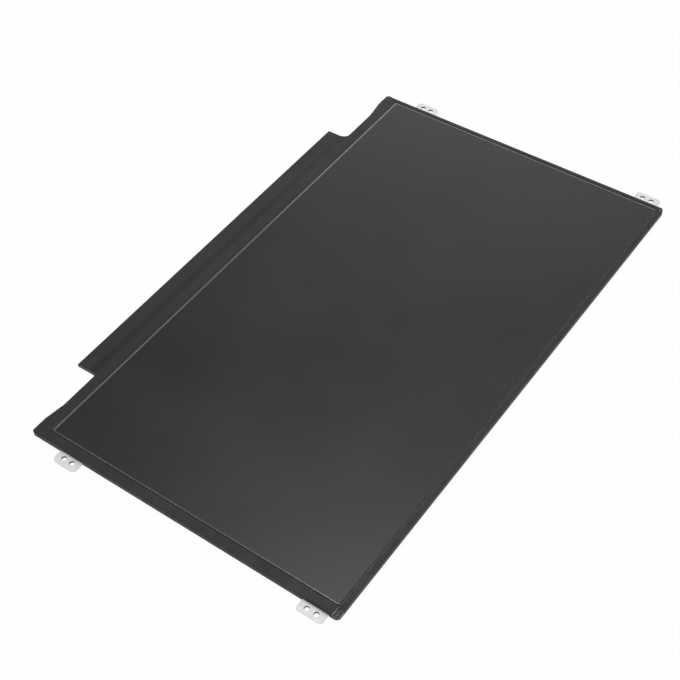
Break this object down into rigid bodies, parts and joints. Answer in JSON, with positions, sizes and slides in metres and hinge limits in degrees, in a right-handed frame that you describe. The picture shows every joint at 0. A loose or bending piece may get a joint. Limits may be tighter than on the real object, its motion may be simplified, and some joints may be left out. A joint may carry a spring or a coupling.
{
  "type": "laptop touchscreen display module",
  "caption": "Slim flat display module with a touch cell, a black film bezel, a board flange along one long side and metal screw ears on its short sides.",
  "frame": {"origin": "on the back plane, at the middle of the body's outline without the board flange and the ears", "axes": "+X along the long side, +Z out of the screen, -Y towards the board flange"},
  "size_m": [0.2802, 0.1682, 0.0029],
  "materials": {
    "cover_metal": "stamped sheet, satin",
    "frame_plastic": "moulded black, fine grain",
    "reflector_film": "matt white film",
    "guide_plastic": "clear acrylic",
    "diffuser_film": "frosted film",
    "prism_film": "clear ribbed film",
    "rim_adhesive": "black double-sided tape",
    "polarizer_back": "smooth grey film",
    "cell_glass": "thin clear glass",
    "seal_resin": "cured resin",
    "polarizer_front": "anti-glare dark film",
    "flex_film": "amber polyimide",
    "driver_silicon": "polished dark silicon",
    "board_laminate": "solder mask",
    "film_black": "matt black film",
    "tape_black": "matt black tape",
    "chip_resin": "moulded package",
    "part_ceramic": "fired ceramic with tinned ends",
    "part_ferrite": "ferrite",
    "led_resin": "phosphor resin",
    "connector_plastic": "ivory plastic",
    "contact_metal": "gold flash",
    "connector_steel": "tinned sheet",
    "bracket_steel": "zinc plated sheet steel"
  },
  "bodies": {
    "root": {"rear_cover": "cover_metal", "mould_frame": "frame_plastic", "reflector_sheet": "reflector_film", "light_guide": "guide_plastic", "light_bar_flex": "flex_film", "light_packages": "led_resin", "diffuser_sheet": "diffuser_film", "lower_prism_sheet": "prism_film", "upper_prism_sheet": "prism_film", "top_diffuser_sheet": "diffuser_film", "rim_tape": "rim_adhesive", "rear_polarizer": "polarizer_back", "array_glass": "cell_glass", "cell_seal": "seal_resin", "colour_filter_glass": "cell_glass", "front_polarizer": "polarizer_front", "driver_chips": "driver_silicon", "source_flexes": "flex_film", "touch_flex": "flex_film", "control_board": "board_laminate", "board_adhesive": "rim_adhesive", "board_film": "film_black", "timing_controller": "chip_resin", "touch_controller": "chip_resin", "power_chips": "chip_resin", "inductors": "part_ferrite", "capacitors": "part_ceramic", "resistors": "chip_resin", "connector_housing": "connector_plastic", "connector_contacts": "contact_metal", "connector_cover": "connector_steel", "light_bar_socket": "connector_plastic", "bezel_tape_top": "tape_black", "bezel_tape_left": "tape_black", "bezel_tape_right": "tape_black", "bezel_tape_board_left": "tape_black", "bezel_tape_board_right": "tape_black", "bracket_left": "bracket_steel", "bracket_right": "bracket_steel"}
  },
  "joints": []
}
